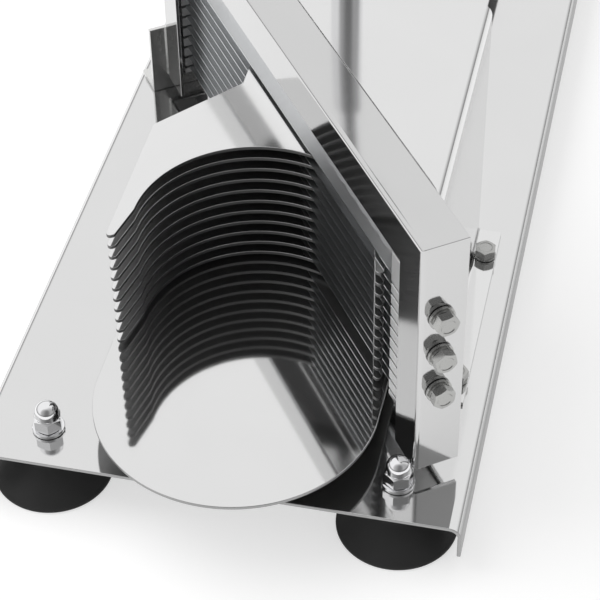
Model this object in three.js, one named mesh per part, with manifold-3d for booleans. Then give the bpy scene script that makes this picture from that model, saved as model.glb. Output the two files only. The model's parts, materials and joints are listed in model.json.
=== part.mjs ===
// Tomato slicer: a sliding pusher with stacked fins drives the fruit through a
// diagonal pack of horizontal blades, onto a bed with a round outlet end.
// Millimetres, +Z up. The pusher stands fully forward, at the end of its stroke.

import * as THREE from 'three';
import { mergeVertices } from 'three/addons/utils/BufferGeometryUtils.js';
import Module from 'manifold-3d';

const wasm = await Module();
wasm.setup();

// Clearances
const seatGap = 0.3;
const screwPlay = 0.3;
const glideGap = 0.4;

// Deck: one folded sheet, whose long sides point down
const deckWidth = 190;
const deckLength = 420;
const deckSheet = 1.5;
const deckSideDrop = 15;
const deckBendRadius = 5;
const deckHeight = 23;

// Suction cups, their studs and the cap nuts on the deck
const footInsetX = 27;
const footInsetY = 18;
const cupLipRadius = 23.3;
const cupLipEdge = 0.8;
const cupNeckRadius = 11;
const cupNeckHeight = 8;
const cupWall = 4;
const cupRimHeight = 2.2;
const studRadius = 3;
const studDepthInCup = 8;
const washerRadius = 6.4;
const washerThickness = 1.3;
const nutAcrossFlats = 10;
const nutHexHeight = 5.3;
const nutDomeRadius = 4.7;
const nutTotalHeight = 11.7;
const nutBoreDepth = 7.6;

// Bed: a raised plate with a round outlet end, on two channel rails
const laneCentreX = 2.3;
const bedSideMargin = 40.25;
const bedTop = 14;
const bedSheet = 1.5;
const bedRoundCentreY = 35.8;
const bedBackInset = 14;
const slotWidth = 14;
const slotMargin = 5;
const slotBackInset = 45;
const railSheet = 2;
const railFlange = 12;
const railSpacing = 56;
const railEndInset = 12;

// Blade frame: a folded pan that stands across the lane
const frameNearRoom = 19.05;
const frameFarRoom = 28.12;
const frameCornerY = 19;
const frameAngle = 35.4;
const frameDepth = 18;
const frameSheet = 1.5;
const frameBottom = 7;
const frameTop = 116.5;
const frameRim = 17;
const windowTop = 98;
const frameBendRadius = 1.8;

// Blades
const sliceCount = 11;
const slicePitch = 5.46;
const topBladeZ = 73.9;
const bladeThickness = 0.6;
const bladeWidth = 7;
const bladeOffset = 6;
const toothPitch = 10;
const toothDepth = 0.8;

// Clamp bars, the window cheek and the bolts that keep the blades taut
const nearBarThickness = 28.5;
const farBarThickness = 11;
const barTakeUp = 2;
const barWall = 1.6;
const barEndWall = 6;
const barOverlap = 3;
const cheekSheet = 1.5;
const cheekReach = 53.5;
const tensionBoltRadius = 2.5;
const tensionBoltOffset = 8.25;
const tensionBoltTopZ = 83.2;
const tensionBoltPitch = 18;
const tensionBoltCount = 3;
const boltAcrossFlats = 8;
const boltHeadHeight = 3.5;
const boltWasherRadius = 5;
const boltWasherThickness = 1;
const springWasherRadius = 4.2;
const springWasherThickness = 1.2;

// Bracket under the far end of the frame
const bracketSheet = 2;
const bracketLead = 7.3;
const bracketFoot = 15;
const bracketHeight = 34;

// Hood behind the frame
const hoodSheet = 1.5;
const hoodWallInset = 19.3;
const hoodBackY = 163;
const hoodFootWidth = 9.5;
const hoodFootFrontY = 62;
const hoodBendRadius = 5;
const hoodFootBendRadius = 1.2;
const hoodBoltRadius = 2.5;
const hoodBoltRoom = 5.1;
const hoodBoltFrontY = 74;
const hoodBoltBackY = 147;
const hoodBoltAcrossFlats = 8;
const hoodBoltHeadHeight = 3.5;
const hoodWasherRadius = 4.4;
const hoodWasherThickness = 1;
const hoodNutHeight = 4;

// Pusher fins
const finThickness = 1.5;
const topFinZ = 72;
const finInset = 2.45;
const finTipY = 53;
const finTipWidth = 3.2;
const finTipRadius = 1.5;
const finArmWidth = 6.5;
const finBayCentreY = 69.3;
const finShoulderY = 119.8;
const finChamferAngle = 49;
const tailHalfWidth = 24;
const tailEndY = 209;

// Block that holds the fin tails, and the shoe that keeps it on the bed
const blockHalfWidth = 30;
const blockFrontOffset = 22;
const blockFrontY = 153;
const blockEndWall = 5;
const blockTop = 80;
const blockEdgeRadius = 6;
const neckPlay = 0.6;
const shoeWidth = 30;
const shoeThickness = 6;
const shoeFrontY = 172;
const shoeBackY = 206;
const tieBoltY = 192;
const tieBoltRadius = 3;
const tieBoltHeadRadius = 5.5;
const tieBoltHeadHeight = 2.4;
const tieBoltTopInset = 1;

// Tie through the right arms of the fins
const finTieInset = 13.6;
const finTieY = 112;
const finTieRadius = 3;
const collarRadius = 5.5;
const collarEndHeight = 2.5;
const finTieFoot = 1.2;

// Handle: a stepped post with a ball grip
const postX = 16.1;
const postY = 176;
const postRadius = 6.4;
const postShoulderZ = 186.7;
const postShoulderRound = 2;
const postRodRadius = 4.4;
const postTopZ = 243.3;
const ballRadius = 16;
const ballSocketDepth = 11;
const ballNeckRadius = 7;
const ballNeckHeight = 4;

// Steps round a full turn
const fineSteps = 24;
const plainSteps = 18;
const smallSteps = 12;

const materials = {
  polished: new THREE.MeshStandardMaterial({ color: 0xe2e3e3, metalness: 1, roughness: 0.08 }),
  sheet: new THREE.MeshStandardMaterial({ color: 0xd9dada, metalness: 1, roughness: 0.18 }),
  fin: new THREE.MeshStandardMaterial({ color: 0xc9caca, metalness: 1, roughness: 0.15 }),
  blade: new THREE.MeshStandardMaterial({ color: 0xbfc2c4, metalness: 1, roughness: 0.2 }),
  chrome: new THREE.MeshStandardMaterial({ color: 0xeeeeee, metalness: 1, roughness: 0.05 }),
  bolt: new THREE.MeshStandardMaterial({ color: 0xa9aaaa, metalness: 1, roughness: 0.3 }),
  rubber: new THREE.MeshStandardMaterial({ color: 0x161616, metalness: 0, roughness: 0.7 }),
  plastic: new THREE.MeshStandardMaterial({ color: 0x131313, metalness: 0, roughness: 0.35 }),
};

// Places that several pieces share
const frameTurn = THREE.MathUtils.degToRad(frameAngle);
const footX = deckWidth / 2 - footInsetX;
const footPlaces = {
  front_left: [-footX, footInsetY],
  front_right: [footX, footInsetY],
  back_left: [-footX, deckLength - footInsetY],
  back_right: [footX, deckLength - footInsetY],
};
const bedWidth = deckWidth - 2 * bedSideMargin;
const bedBottom = bedTop - bedSheet;
const bedBackY = deckLength - bedBackInset;
const outletFrontY = bedRoundCentreY - bedWidth / 2;
const rearmostY = Math.max(deckLength, deckLength - footInsetY + cupLipRadius);
const finHalfWidth = bedWidth / 2 - finInset;
const finBayRadius = finHalfWidth - finArmWidth;
const finTieX = laneCentreX + finHalfWidth - finTieInset;
const frameCornerX = laneCentreX + finHalfWidth + frameNearRoom;
const frameLength =
  (2 * finHalfWidth + frameNearRoom + frameFarRoom) / Math.sin(frameTurn);
const hoodWallX = deckWidth / 2 - hoodWallInset;
const hoodBoltX = hoodWallX + hoodBoltRoom;
const slices = Array.from({ length: sliceCount }, (_, index) => index);
const bladeZ = (index) => topBladeZ - index * slicePitch;
const finBottomZ = (index) => topFinZ - finThickness - index * slicePitch;
const lastSlice = sliceCount - 1;
const tensionBoltZ = Array.from({ length: tensionBoltCount },
  (_, index) => tensionBoltTopZ - index * tensionBoltPitch);
const nearBarInset = frameSheet + barTakeUp;
const farBarInset = frameSheet + seatGap;
const tensionBoltReach = nearBarInset + barEndWall - 3 * seatGap;
const barFront = bladeOffset - seatGap - barWall;
const barBack = bladeOffset + bladeWidth + seatGap + barWall;
const blockBackY = tailEndY + seatGap + blockEndWall;
const blockBottom = bedTop + glideGap;
const neckBottom = bedBottom - glideGap;
const hoodBoltPlaces = { front: hoodBoltFrontY, back: hoodBoltBackY };

// Solids

function signedVolume(position, corners) {
  const [a, b, c] = [new THREE.Vector3(), new THREE.Vector3(), new THREE.Vector3()];
  let sum = 0;
  for (let i = 0; i < corners.length; i += 3) {
    a.fromBufferAttribute(position, corners[i]);
    b.fromBufferAttribute(position, corners[i + 1]);
    c.fromBufferAttribute(position, corners[i + 2]);
    sum += a.dot(b.cross(c));
  }
  return sum / 6;
}

function solid(geometry) {
  const bare = geometry.index ? geometry.toNonIndexed() : geometry.clone();
  bare.deleteAttribute('normal');
  bare.deleteAttribute('uv');
  const merged = mergeVertices(bare, 1e-4);
  const corners = merged.index.array;
  const kept = [];
  for (let i = 0; i < corners.length; i += 3) {
    const [a, b, c] = [corners[i], corners[i + 1], corners[i + 2]];
    if (a !== b && b !== c && c !== a) {
      kept.push(a, b, c);
    }
  }
  if (signedVolume(merged.attributes.position, kept) < 0) {
    kept.reverse();
  }
  return new wasm.Manifold(new wasm.Mesh({
    numProp: 3,
    vertProperties: new Float32Array(merged.attributes.position.array),
    triVerts: new Uint32Array(kept),
  }));
}

function piece(name, body, material) {
  const mesh = body.getMesh();
  const geometry = new THREE.BufferGeometry();
  geometry.setAttribute('position', new THREE.BufferAttribute(mesh.vertProperties, 3));
  geometry.setIndex(new THREE.BufferAttribute(mesh.triVerts, 1));
  geometry.computeVertexNormals();
  const made = new THREE.Mesh(geometry, material);
  made.name = name;
  return made;
}

const outline = (points) => new THREE.Shape(points.map(([x, y]) => new THREE.Vector2(x, y)));

// An outline in X and Y, raised from one height to another
function plate(shape, low, high, steps = smallSteps) {
  const geometry = new THREE.ExtrudeGeometry(shape, {
    depth: high - low, bevelEnabled: false, curveSegments: steps,
  });
  return solid(geometry.translate(0, 0, low));
}

// A section in X and Z, drawn out along Y
function drawnAlongY(points, frontY, backY) {
  return plate(outline(points), 0, backY - frontY).rotate([90, 0, 0]).translate([0, backY, 0]);
}

function box(x0, x1, y0, y1, z0, z1) {
  const geometry = new THREE.BoxGeometry(x1 - x0, y1 - y0, z1 - z0);
  return solid(geometry.translate((x0 + x1) / 2, (y0 + y1) / 2, (z0 + z1) / 2));
}

// A profile of [radius, height] points, turned about the Z axis
function turned(profile, steps = fineSteps) {
  const points = profile.map(([radius, height]) =>
    new THREE.Vector2(Math.abs(radius) < 1e-6 ? 0 : radius, height));
  return solid(new THREE.LatheGeometry(points, steps).rotateX(Math.PI / 2));
}

function rod(x, y, radius, low, high, steps = smallSteps) {
  return turned([[0, low], [radius, low], [radius, high], [0, high]], steps)
    .translate([x, y, 0]);
}

// A hexagon with its corners chamfered above and below
function hexBlock(acrossFlats, low, high) {
  const corner = acrossFlats / Math.sqrt(3);
  const chamfer = corner - acrossFlats / 2;
  const cones = turned([
    [0, low], [corner - chamfer, low], [corner + chamfer, low + 2 * chamfer],
    [corner + chamfer, high - 2 * chamfer], [corner - chamfer, high], [0, high],
  ], smallSteps);
  return rod(0, 0, corner, low, high, 6).intersect(cones);
}

function arcPoints(cx, cy, radius, from, to, steps) {
  return Array.from({ length: steps + 1 }, (_, i) => {
    const angle = THREE.MathUtils.degToRad(from + ((to - from) * i) / steps);
    return [cx + radius * Math.cos(angle), cy + radius * Math.sin(angle)];
  });
}

const union = (bodies) => bodies.reduce((all, next) => all.add(next));

// The X and the Y at which the line `offset` behind the frame's face crosses the other
const xBehindFrame = (offset, y) =>
  frameCornerX + (offset - (y - frameCornerY) * Math.sin(frameTurn)) / Math.cos(frameTurn);
const yBehindFrame = (offset, x) =>
  frameCornerY + (offset - (x - frameCornerX) * Math.cos(frameTurn)) / Math.sin(frameTurn);

// Deck

function baseDeck() {
  const half = deckWidth / 2;
  const bend = (side, radius) =>
    arcPoints(side * (half - deckBendRadius), -deckBendRadius, radius,
      side > 0 ? 0 : 180, 90, 4);
  const folded = drawnAlongY([
    [half, -deckSideDrop],
    ...bend(1, deckBendRadius),
    ...bend(-1, deckBendRadius).reverse(),
    [-half, -deckSideDrop],
    [-half + deckSheet, -deckSideDrop],
    ...bend(-1, deckBendRadius - deckSheet),
    ...bend(1, deckBendRadius - deckSheet).reverse(),
    [half - deckSheet, -deckSideDrop],
  ], 0, deckLength);
  const hole = (x, y, radius) => rod(x, y, radius + screwPlay, -2 * deckSheet, deckSheet);
  const studHoles = Object.values(footPlaces).map(([x, y]) => hole(x, y, studRadius));
  const boltHoles = Object.values(hoodBoltPlaces).map((y) =>
    hole(hoodBoltX, y, hoodBoltRadius));
  return folded.subtract(union([...studHoles, ...boltHoles]));
}

// Feet

function suctionCup() {
  const top = -deckSheet - seatGap;
  const table = -deckHeight;
  const rimTop = table + cupRimHeight;
  const neckEnd = top - cupNeckHeight;
  const ceiling = rimTop + cupWall;
  const socket = studRadius + screwPlay;
  const socketFloor = top - studDepthInCup;
  const flankRadius = (cupNeckRadius + cupLipRadius) / 2;
  return turned([
    [0, socketFloor],
    [socket, socketFloor],
    [socket, top],
    [cupNeckRadius - cupLipEdge, top],
    [cupNeckRadius, top - cupLipEdge],
    [cupNeckRadius, neckEnd],
    [flankRadius, (neckEnd + rimTop) / 2 - cupLipEdge],
    [cupLipRadius - cupLipEdge, rimTop],
    [cupLipRadius, table + cupLipEdge],
    [cupLipRadius - cupLipEdge, table],
    [cupLipRadius - cupWall, table],
    [cupNeckRadius - cupLipEdge, ceiling - cupRimHeight],
    [0, ceiling],
  ], plainSteps);
}

function cupStud() {
  const top = washerThickness + 2 * seatGap + nutBoreDepth - seatGap;
  const bottom = -deckSheet - studDepthInCup;
  const chamfer = studRadius / 5;
  return turned([
    [0, bottom],
    [studRadius, bottom],
    [studRadius, top - chamfer],
    [studRadius - chamfer, top],
    [0, top],
  ], smallSteps);
}

function flatWasher() {
  const bore = studRadius + screwPlay;
  const top = seatGap + washerThickness;
  return turned([
    [bore, seatGap], [washerRadius, seatGap], [washerRadius, top], [bore, top], [bore, seatGap],
  ], plainSteps);
}

// A chamfered hexagon under a dome, with a blind bore for the stud
function capNut() {
  const seat = seatGap + washerThickness + seatGap;
  const hexTop = seat + nutHexHeight;
  const top = seat + nutTotalHeight;
  const rise = top - hexTop;
  const wallShare = 0.35;
  const dome = turned([
    [0, seat + nutHexHeight / 2],
    [nutDomeRadius, seat + nutHexHeight / 2],
    ...arcPoints(0, 0, 1, 0, 90, 4).map(([c, s]) =>
      [nutDomeRadius * c, hexTop + rise * (wallShare + (1 - wallShare) * s)]),
  ], smallSteps);
  const bore = rod(0, 0, studRadius + screwPlay, seat - 1, seat + nutBoreDepth);
  return hexBlock(nutAcrossFlats, seat, hexTop).add(dome).subtract(bore);
}

// Bed

function bedPlate() {
  const half = bedWidth / 2;
  const slotHalf = slotWidth / 2;
  const slotFront = shoeFrontY - slotMargin + slotHalf;
  const slotBack = bedBackY - slotBackInset - slotHalf;
  const shape = outline([
    [laneCentreX + half, bedBackY],
    [laneCentreX - half, bedBackY],
    ...arcPoints(laneCentreX, bedRoundCentreY, half, 180, 360, 2 * fineSteps),
  ]);
  const slot = outline([
    ...arcPoints(laneCentreX, slotBack, slotHalf, 0, 180, smallSteps / 2),
    ...arcPoints(laneCentreX, slotFront, slotHalf, 180, 360, smallSteps / 2),
  ]);
  shape.holes.push(slot);
  return plate(shape, bedBottom, bedTop);
}

// A channel: a web with one flange on the deck and one under the bed
function bedRail(side) {
  const low = seatGap;
  const high = bedBottom - seatGap;
  const inner = laneCentreX + side * railSpacing / 2;
  const outer = inner + side * railFlange;
  const web = inner + side * railSheet;
  return drawnAlongY([
    [inner, low], [outer, low], [outer, low + railSheet], [web, low + railSheet],
    [web, high - railSheet], [outer, high - railSheet], [outer, high], [inner, high],
  ], bedRoundCentreY + railEndInset, bedBackY - railEndInset);
}

// Blade frame. Here x goes through the frame and y along it, from the near end

function panBody(inset, back, bottom) {
  const radius = frameBendRadius - inset;
  const fold = (cx, cy, from, to) => arcPoints(cx, cy, radius, from, to, 4);
  const end = frameLength - inset - radius;
  const plan = plate(outline([
    ...fold(inset + radius, inset + radius, 270, 180),
    ...fold(inset + radius, end, 180, 90),
    [back, frameLength - inset],
    [back, inset],
  ]), bottom, frameTop - inset);
  const section = drawnAlongY([
    [inset, bottom],
    ...fold(inset + radius, frameTop - inset - radius, 180, 90),
    [back, frameTop - inset],
    [back, bottom],
  ], 0, frameLength);
  return plan.intersect(section);
}

// A round bar that lies along the frame
function barAlongFrame(radius, from, to, z) {
  const geometry = new THREE.CylinderGeometry(radius, radius, to - from, smallSteps);
  return solid(geometry.translate(tensionBoltOffset, (from + to) / 2, z));
}

function bladeFrame() {
  const hollow = panBody(frameSheet, frameDepth + 1, frameBottom - 1);
  const window = box(-1, frameDepth / 2, frameRim, frameLength - frameRim,
    frameBottom - 1, windowTop);
  const boltHoles = tensionBoltZ.map((z) =>
    barAlongFrame(tensionBoltRadius + screwPlay, -1, 2 * frameSheet, z));
  return panBody(0, frameDepth, frameBottom).subtract(hollow).subtract(window)
    .subtract(union(boltHoles));
}

// A comb bar, open at the front, with one slot for each blade end
function slottedBar(inset, thickness) {
  const low = bladeZ(lastSlice) - barOverlap;
  const high = Math.max(topBladeZ, tensionBoltTopZ + tensionBoltRadius) + barOverlap;
  const far = inset + thickness;
  const halfSlot = bladeThickness / 2 + seatGap;
  const slots = slices.map((index) =>
    box(barFront - 1, barBack - barWall, inset + barEndWall, far + 1,
      bladeZ(index) - halfSlot, bladeZ(index) + halfSlot));
  return box(barFront, barBack, inset, far, low, high).subtract(union(slots));
}

function nearBar() {
  const bores = tensionBoltZ.map((z) =>
    barAlongFrame(tensionBoltRadius + screwPlay, 0, tensionBoltReach + seatGap, z));
  return slottedBar(nearBarInset, nearBarThickness).subtract(union(bores));
}

function farBar() {
  return slottedBar(farBarInset, farBarThickness).mirror([0, 1, 0])
    .translate([0, frameLength, 0]);
}

// A blade with scalloped teeth on its back edge, between the rims of the frame
function blade(index) {
  const start = nearBarInset + barEndWall + seatGap;
  const end = frameLength - farBarInset - barEndWall - seatGap;
  const back = bladeOffset + bladeWidth;
  const gullet = back - toothDepth;
  const teethStart = nearBarInset + nearBarThickness + toothPitch;
  const teethEnd = frameLength - farBarInset - farBarThickness - toothPitch;
  const teeth = Math.floor((teethEnd - teethStart) / toothPitch);
  const edge = Array.from({ length: teeth }, (_, i) => {
    const y = teethStart + i * toothPitch;
    return [[gullet, y], [back, y + toothPitch / 2]];
  }).flat();
  const shape = outline([
    [bladeOffset, start],
    [gullet, start],
    ...edge,
    [gullet, teethStart + teeth * toothPitch],
    [gullet, end],
    [bladeOffset, end],
  ]);
  const half = bladeThickness / 2;
  return plate(shape, bladeZ(index) - half, bladeZ(index) + half);
}

// A plate behind the blades, across the near end of the window
function windowCheek() {
  const front = barBack + seatGap;
  return box(front, front + cheekSheet, frameSheet + seatGap, cheekReach,
    bedTop + seatGap, frameTop - frameSheet - seatGap);
}

// A hexagon bolt with its flat and spring washers, pointing along the frame
function tensionBolt(z) {
  const seat = seatGap;
  const flat = seat + boltWasherThickness;
  const spring = flat + springWasherThickness;
  const head = spring + boltHeadHeight;
  const shank = turned([
    [0, -tensionBoltReach], [tensionBoltRadius, -tensionBoltReach], [tensionBoltRadius, seat],
    [boltWasherRadius, seat], [boltWasherRadius, flat], [springWasherRadius, flat],
    [springWasherRadius, spring], [tensionBoltRadius, spring],
    [tensionBoltRadius, spring + boltHeadHeight / 2], [0, spring + boltHeadHeight / 2],
  ], smallSteps);
  return hexBlock(boltAcrossFlats, spring, head).add(shank).rotate([90, 0, 0])
    .translate([tensionBoltOffset, 0, z]);
}

// An angle on the deck, whose upright leg leads the frame's face
function frameBracket() {
  const start = frameLength + seatGap;
  const low = seatGap;
  const shape = outline([
    [start, low], [start + bracketFoot, low], [start + bracketFoot, low + bracketSheet],
    [start + bracketSheet, low + bracketSheet], [start + bracketSheet, bracketHeight],
    [start, bracketHeight],
  ]);
  return plate(shape, 0, frameDepth + bracketLead).rotate([90, 0, 90])
    .translate([-bracketLead, 0, 0]);
}

// Hood

function guardHood() {
  const low = seatGap;
  const left = xBehindFrame(frameDepth, hoodBackY) - 1;
  const footEndX = hoodWallX + hoodFootWidth;
  const bendX = hoodWallX - hoodBendRadius;
  const bendZ = frameTop - hoodBendRadius;
  const footBendX = hoodWallX + hoodFootBendRadius;
  const footBendZ = low + hoodSheet + hoodFootBendRadius;
  const innerBend = hoodBendRadius - hoodSheet;
  const outerFootBend = hoodFootBendRadius + hoodSheet;
  const profile = drawnAlongY([
    [left, frameTop],
    ...arcPoints(bendX, bendZ, hoodBendRadius, 90, 0, 5),
    ...arcPoints(footBendX, footBendZ, hoodFootBendRadius, 180, 270, 3),
    [footEndX, low + hoodSheet],
    [footEndX, low],
    ...arcPoints(footBendX, footBendZ, outerFootBend, 270, 180, 3),
    ...arcPoints(bendX, bendZ, innerBend, 0, 90, 5),
    [left, frameTop - hoodSheet],
  ], frameCornerY, hoodBackY);
  const reach = frameLength + deckWidth;
  const behindFrame = box(frameDepth + seatGap, reach, -reach, reach, -1, frameTop + 1)
    .rotate([0, 0, frameAngle]).translate([frameCornerX, frameCornerY, 0]);
  const footCut = box(hoodWallX, footEndX + 1, 0, hoodFootFrontY, -1, footBendZ + 1);
  const boltHoles = Object.values(hoodBoltPlaces).map((y) =>
    rod(hoodBoltX, y, hoodBoltRadius + screwPlay, -1, 2 * hoodSheet));
  return profile.intersect(behindFrame).subtract(footCut).subtract(union(boltHoles));
}

// A bolt with the washer under its head and the nut below the deck
function hoodBolt() {
  const seat = seatGap + hoodSheet + seatGap;
  const washerTop = seat + hoodWasherThickness;
  const head = washerTop + hoodBoltHeadHeight;
  const nutTop = -deckSheet - seatGap;
  const nutBottom = nutTop - hoodNutHeight;
  const shank = turned([
    [0, nutBottom - 1], [hoodBoltRadius, nutBottom - 1], [hoodBoltRadius, seat],
    [hoodWasherRadius, seat], [hoodWasherRadius, washerTop], [hoodBoltRadius, washerTop],
    [hoodBoltRadius, head - 1], [0, head - 1],
  ], smallSteps);
  return hexBlock(hoodBoltAcrossFlats, washerTop, head).add(shank)
    .add(hexBlock(hoodBoltAcrossFlats, nutBottom, nutTop));
}

// Pusher

// The Y of a fin's chamfered shoulder at a half width, for an outline grown by `grow`
function shoulderY(halfWidth, grow = 0) {
  const slope = Math.tan(THREE.MathUtils.degToRad(finChamferAngle));
  return finShoulderY + (finHalfWidth - halfWidth) * slope + grow * Math.hypot(1, slope);
}

// One side of a fin, from its tip to its tail, as half widths
function finSide() {
  const tipIn = finHalfWidth - finTipWidth;
  return [
    [finBayRadius, finBayCentreY],
    [tipIn, finTipY + finTipRadius / 2],
    ...arcPoints(finHalfWidth - finTipRadius, finTipY + finTipRadius, finTipRadius, 250, 360, 3),
    [finHalfWidth, finShoulderY],
    [tailHalfWidth, shoulderY(tailHalfWidth)],
    [tailHalfWidth, tailEndY],
  ];
}

function fin(index) {
  const low = finBottomZ(index);
  const high = low + finThickness;
  const right = finSide();
  const bay = arcPoints(0, finBayCentreY, finBayRadius, 180, 0, 14).slice(1, -1);
  const left = right.map(([x, y]) => [-x, y]).reverse();
  const shape = outline([...right, ...left, ...bay].map(([x, y]) => [laneCentreX + x, y]));
  const holes = [
    rod(finTieX, finTieY, finTieRadius + screwPlay, low - 1, high + 1),
    rod(postX, postY, postRadius + screwPlay, low - 1, high + 1),
    rod(laneCentreX, tieBoltY, tieBoltRadius + screwPlay, low - 1, high + 1),
  ];
  return plate(shape, low, high).subtract(union(holes));
}

// The space that one fin takes in the block, with its clearance
function tailSlot(index) {
  const low = finBottomZ(index) - seatGap;
  const half = tailHalfWidth + seatGap;
  const wide = blockHalfWidth + 1;
  const shape = outline([
    [half, tailEndY + seatGap], [-half, tailEndY + seatGap], [-half, shoulderY(half, seatGap)],
    [-wide, shoulderY(wide, seatGap)], [-wide, finShoulderY], [wide, finShoulderY],
    [wide, shoulderY(wide, seatGap)], [half, shoulderY(half, seatGap)],
  ].map(([x, y]) => [laneCentreX + x, y]));
  return plate(shape, low, low + finThickness + 2 * seatGap);
}

// A block slotted like a comb, its front parallel to the frame, with a neck below
function pusherBlock() {
  const right = laneCentreX + blockHalfWidth;
  const left = laneCentreX - blockHalfWidth;
  const radius = blockEdgeRadius;
  const block = plate(outline([
    [Math.min(xBehindFrame(blockFrontOffset, blockFrontY), right), blockFrontY],
    [right, blockFrontY],
    ...arcPoints(right - radius, blockBackY - radius, radius, 0, 90, 4),
    ...arcPoints(left + radius, blockBackY - radius, radius, 90, 180, 4),
    [left, Math.min(yBehindFrame(blockFrontOffset, left), blockBackY - radius)],
  ]), blockBottom, blockTop);
  const neckHalf = slotWidth / 2 - neckPlay;
  const neck = box(laneCentreX - neckHalf, laneCentreX + neckHalf, shoeFrontY, shoeBackY,
    neckBottom, blockBottom + 1);
  const postBore = rod(postX, postY, postRadius + screwPlay, blockBottom - 1, blockTop + 1);
  const boltBore = rod(laneCentreX, tieBoltY, tieBoltRadius + screwPlay, neckBottom - 1,
    blockTop + 1);
  return block.add(neck).subtract(union(slices.map(tailSlot))).subtract(postBore)
    .subtract(boltBore);
}

// The shoe below the bed
function pusherShoe() {
  const high = neckBottom - seatGap;
  const low = high - shoeThickness;
  const half = shoeWidth / 2;
  const bore = rod(laneCentreX, tieBoltY, tieBoltRadius + screwPlay, low - 1, high + 1);
  const sink = rod(laneCentreX, tieBoltY, tieBoltHeadRadius + screwPlay, low - 1,
    low + tieBoltHeadHeight + 2 * seatGap, plainSteps);
  return box(laneCentreX - half, laneCentreX + half, shoeFrontY, shoeBackY, low, high)
    .subtract(bore).subtract(sink);
}

// The bolt that ties shoe, block and fins together, sunk at both ends
function tieBolt() {
  const head = neckBottom - seatGap - shoeThickness + seatGap;
  const seat = head + tieBoltHeadHeight;
  const top = blockTop - tieBoltTopInset;
  return turned([
    [0, head], [tieBoltHeadRadius - seatGap, head], [tieBoltHeadRadius, head + seatGap],
    [tieBoltHeadRadius, seat], [tieBoltRadius, seat], [tieBoltRadius, top],
    [0, top],
  ], smallSteps);
}

// A rod with collars that keep the fins apart
function finTie() {
  const foot = finBottomZ(lastSlice) - seatGap - finTieFoot;
  const profile = [[0, foot], [collarRadius, foot]];
  for (const index of [...slices].reverse()) {
    const low = finBottomZ(index) - seatGap;
    const high = low + finThickness + 2 * seatGap;
    profile.push([collarRadius, low], [finTieRadius, low], [finTieRadius, high],
      [collarRadius, high]);
  }
  const top = topFinZ + seatGap + collarEndHeight;
  profile.push([collarRadius, top], [0, top]);
  return turned(profile, 8);
}

function handlePost() {
  const roundZ = postShoulderZ - postShoulderRound;
  return turned([
    [0, blockBottom],
    [postRadius, blockBottom],
    ...arcPoints(postRadius - postShoulderRound, roundZ, postShoulderRound, 0, 80, 4),
    [postRodRadius - seatGap, postShoulderZ],
    [postRodRadius - seatGap, postTopZ],
    [0, postTopZ],
  ], plainSteps);
}

function gripBall() {
  const socket = postRodRadius;
  const socketTop = postTopZ + seatGap;
  const neckMeets = Math.acos(ballNeckRadius / ballRadius);
  const centre = socketTop - ballSocketDepth + ballRadius * Math.sin(neckMeets);
  const neckBase = socketTop - ballSocketDepth - ballNeckHeight;
  const from = -THREE.MathUtils.radToDeg(neckMeets);
  return turned([
    [0, socketTop],
    [socket, socketTop],
    [socket, neckBase],
    [ballNeckRadius, neckBase],
    ...arcPoints(0, centre, ballRadius, from, 90, 8),
  ]);
}

// Assembly

const model = new THREE.Group();
model.position.set(0, -(outletFrontY + rearmostY) / 2, deckHeight);

model.add(piece('base_deck', baseDeck(), materials.sheet));
for (const [place, [x, y]] of Object.entries(footPlaces)) {
  const foot = new THREE.Group();
  foot.position.set(x, y, 0);
  foot.add(piece(`suction_cup_${place}`, suctionCup(), materials.rubber));
  foot.add(piece(`cup_stud_${place}`, cupStud(), materials.bolt));
  foot.add(piece(`washer_${place}`, flatWasher(), materials.chrome));
  foot.add(piece(`cap_nut_${place}`, capNut(), materials.chrome));
  model.add(foot);
}
model.add(piece('bed_plate', bedPlate(), materials.polished));
model.add(piece('bed_rail_left', bedRail(-1), materials.sheet));
model.add(piece('bed_rail_right', bedRail(1), materials.sheet));

const numbered = (name, index) => `${name}_${String(index + 1).padStart(2, '0')}`;

const frame = new THREE.Group();
frame.position.set(frameCornerX, frameCornerY, 0);
frame.rotation.z = frameTurn;
frame.add(piece('blade_frame', bladeFrame(), materials.polished));
frame.add(piece('blade_bar_near', nearBar(), materials.sheet));
frame.add(piece('blade_bar_far', farBar(), materials.sheet));
frame.add(piece('window_cheek', windowCheek(), materials.polished));
frame.add(piece('frame_bracket', frameBracket(), materials.sheet));
tensionBoltZ.forEach((z, index) => {
  frame.add(piece(numbered('tension_bolt', index), tensionBolt(z), materials.bolt));
});
for (const index of slices) {
  frame.add(piece(numbered('blade', index), blade(index), materials.blade));
}
model.add(frame);

model.add(piece('guard_hood', guardHood(), materials.sheet));
for (const [place, y] of Object.entries(hoodBoltPlaces)) {
  const bolt = piece(`hood_bolt_${place}`, hoodBolt(), materials.bolt);
  bolt.position.set(hoodBoltX, y, 0);
  model.add(bolt);
}

const pusher = new THREE.Group();
const addAt = (made, x, y) => {
  made.position.set(x, y, 0);
  pusher.add(made);
};
for (const index of slices) {
  pusher.add(piece(numbered('fin', index), fin(index), materials.fin));
}
pusher.add(piece('pusher_block', pusherBlock(), materials.plastic));
pusher.add(piece('pusher_shoe', pusherShoe(), materials.plastic));
addAt(piece('tie_bolt', tieBolt(), materials.bolt), laneCentreX, tieBoltY);
addAt(piece('fin_tie', finTie(), materials.bolt), finTieX, finTieY);
addAt(piece('handle_post', handlePost(), materials.chrome), postX, postY);
addAt(piece('grip_ball', gripBall(), materials.plastic), postX, postY);
model.add(pusher);

export default model;
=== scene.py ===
import json
from math import acos, cos, degrees, floor, pi, radians, sin, tan

import bmesh
import bpy
from mathutils import Matrix, Vector

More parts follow.
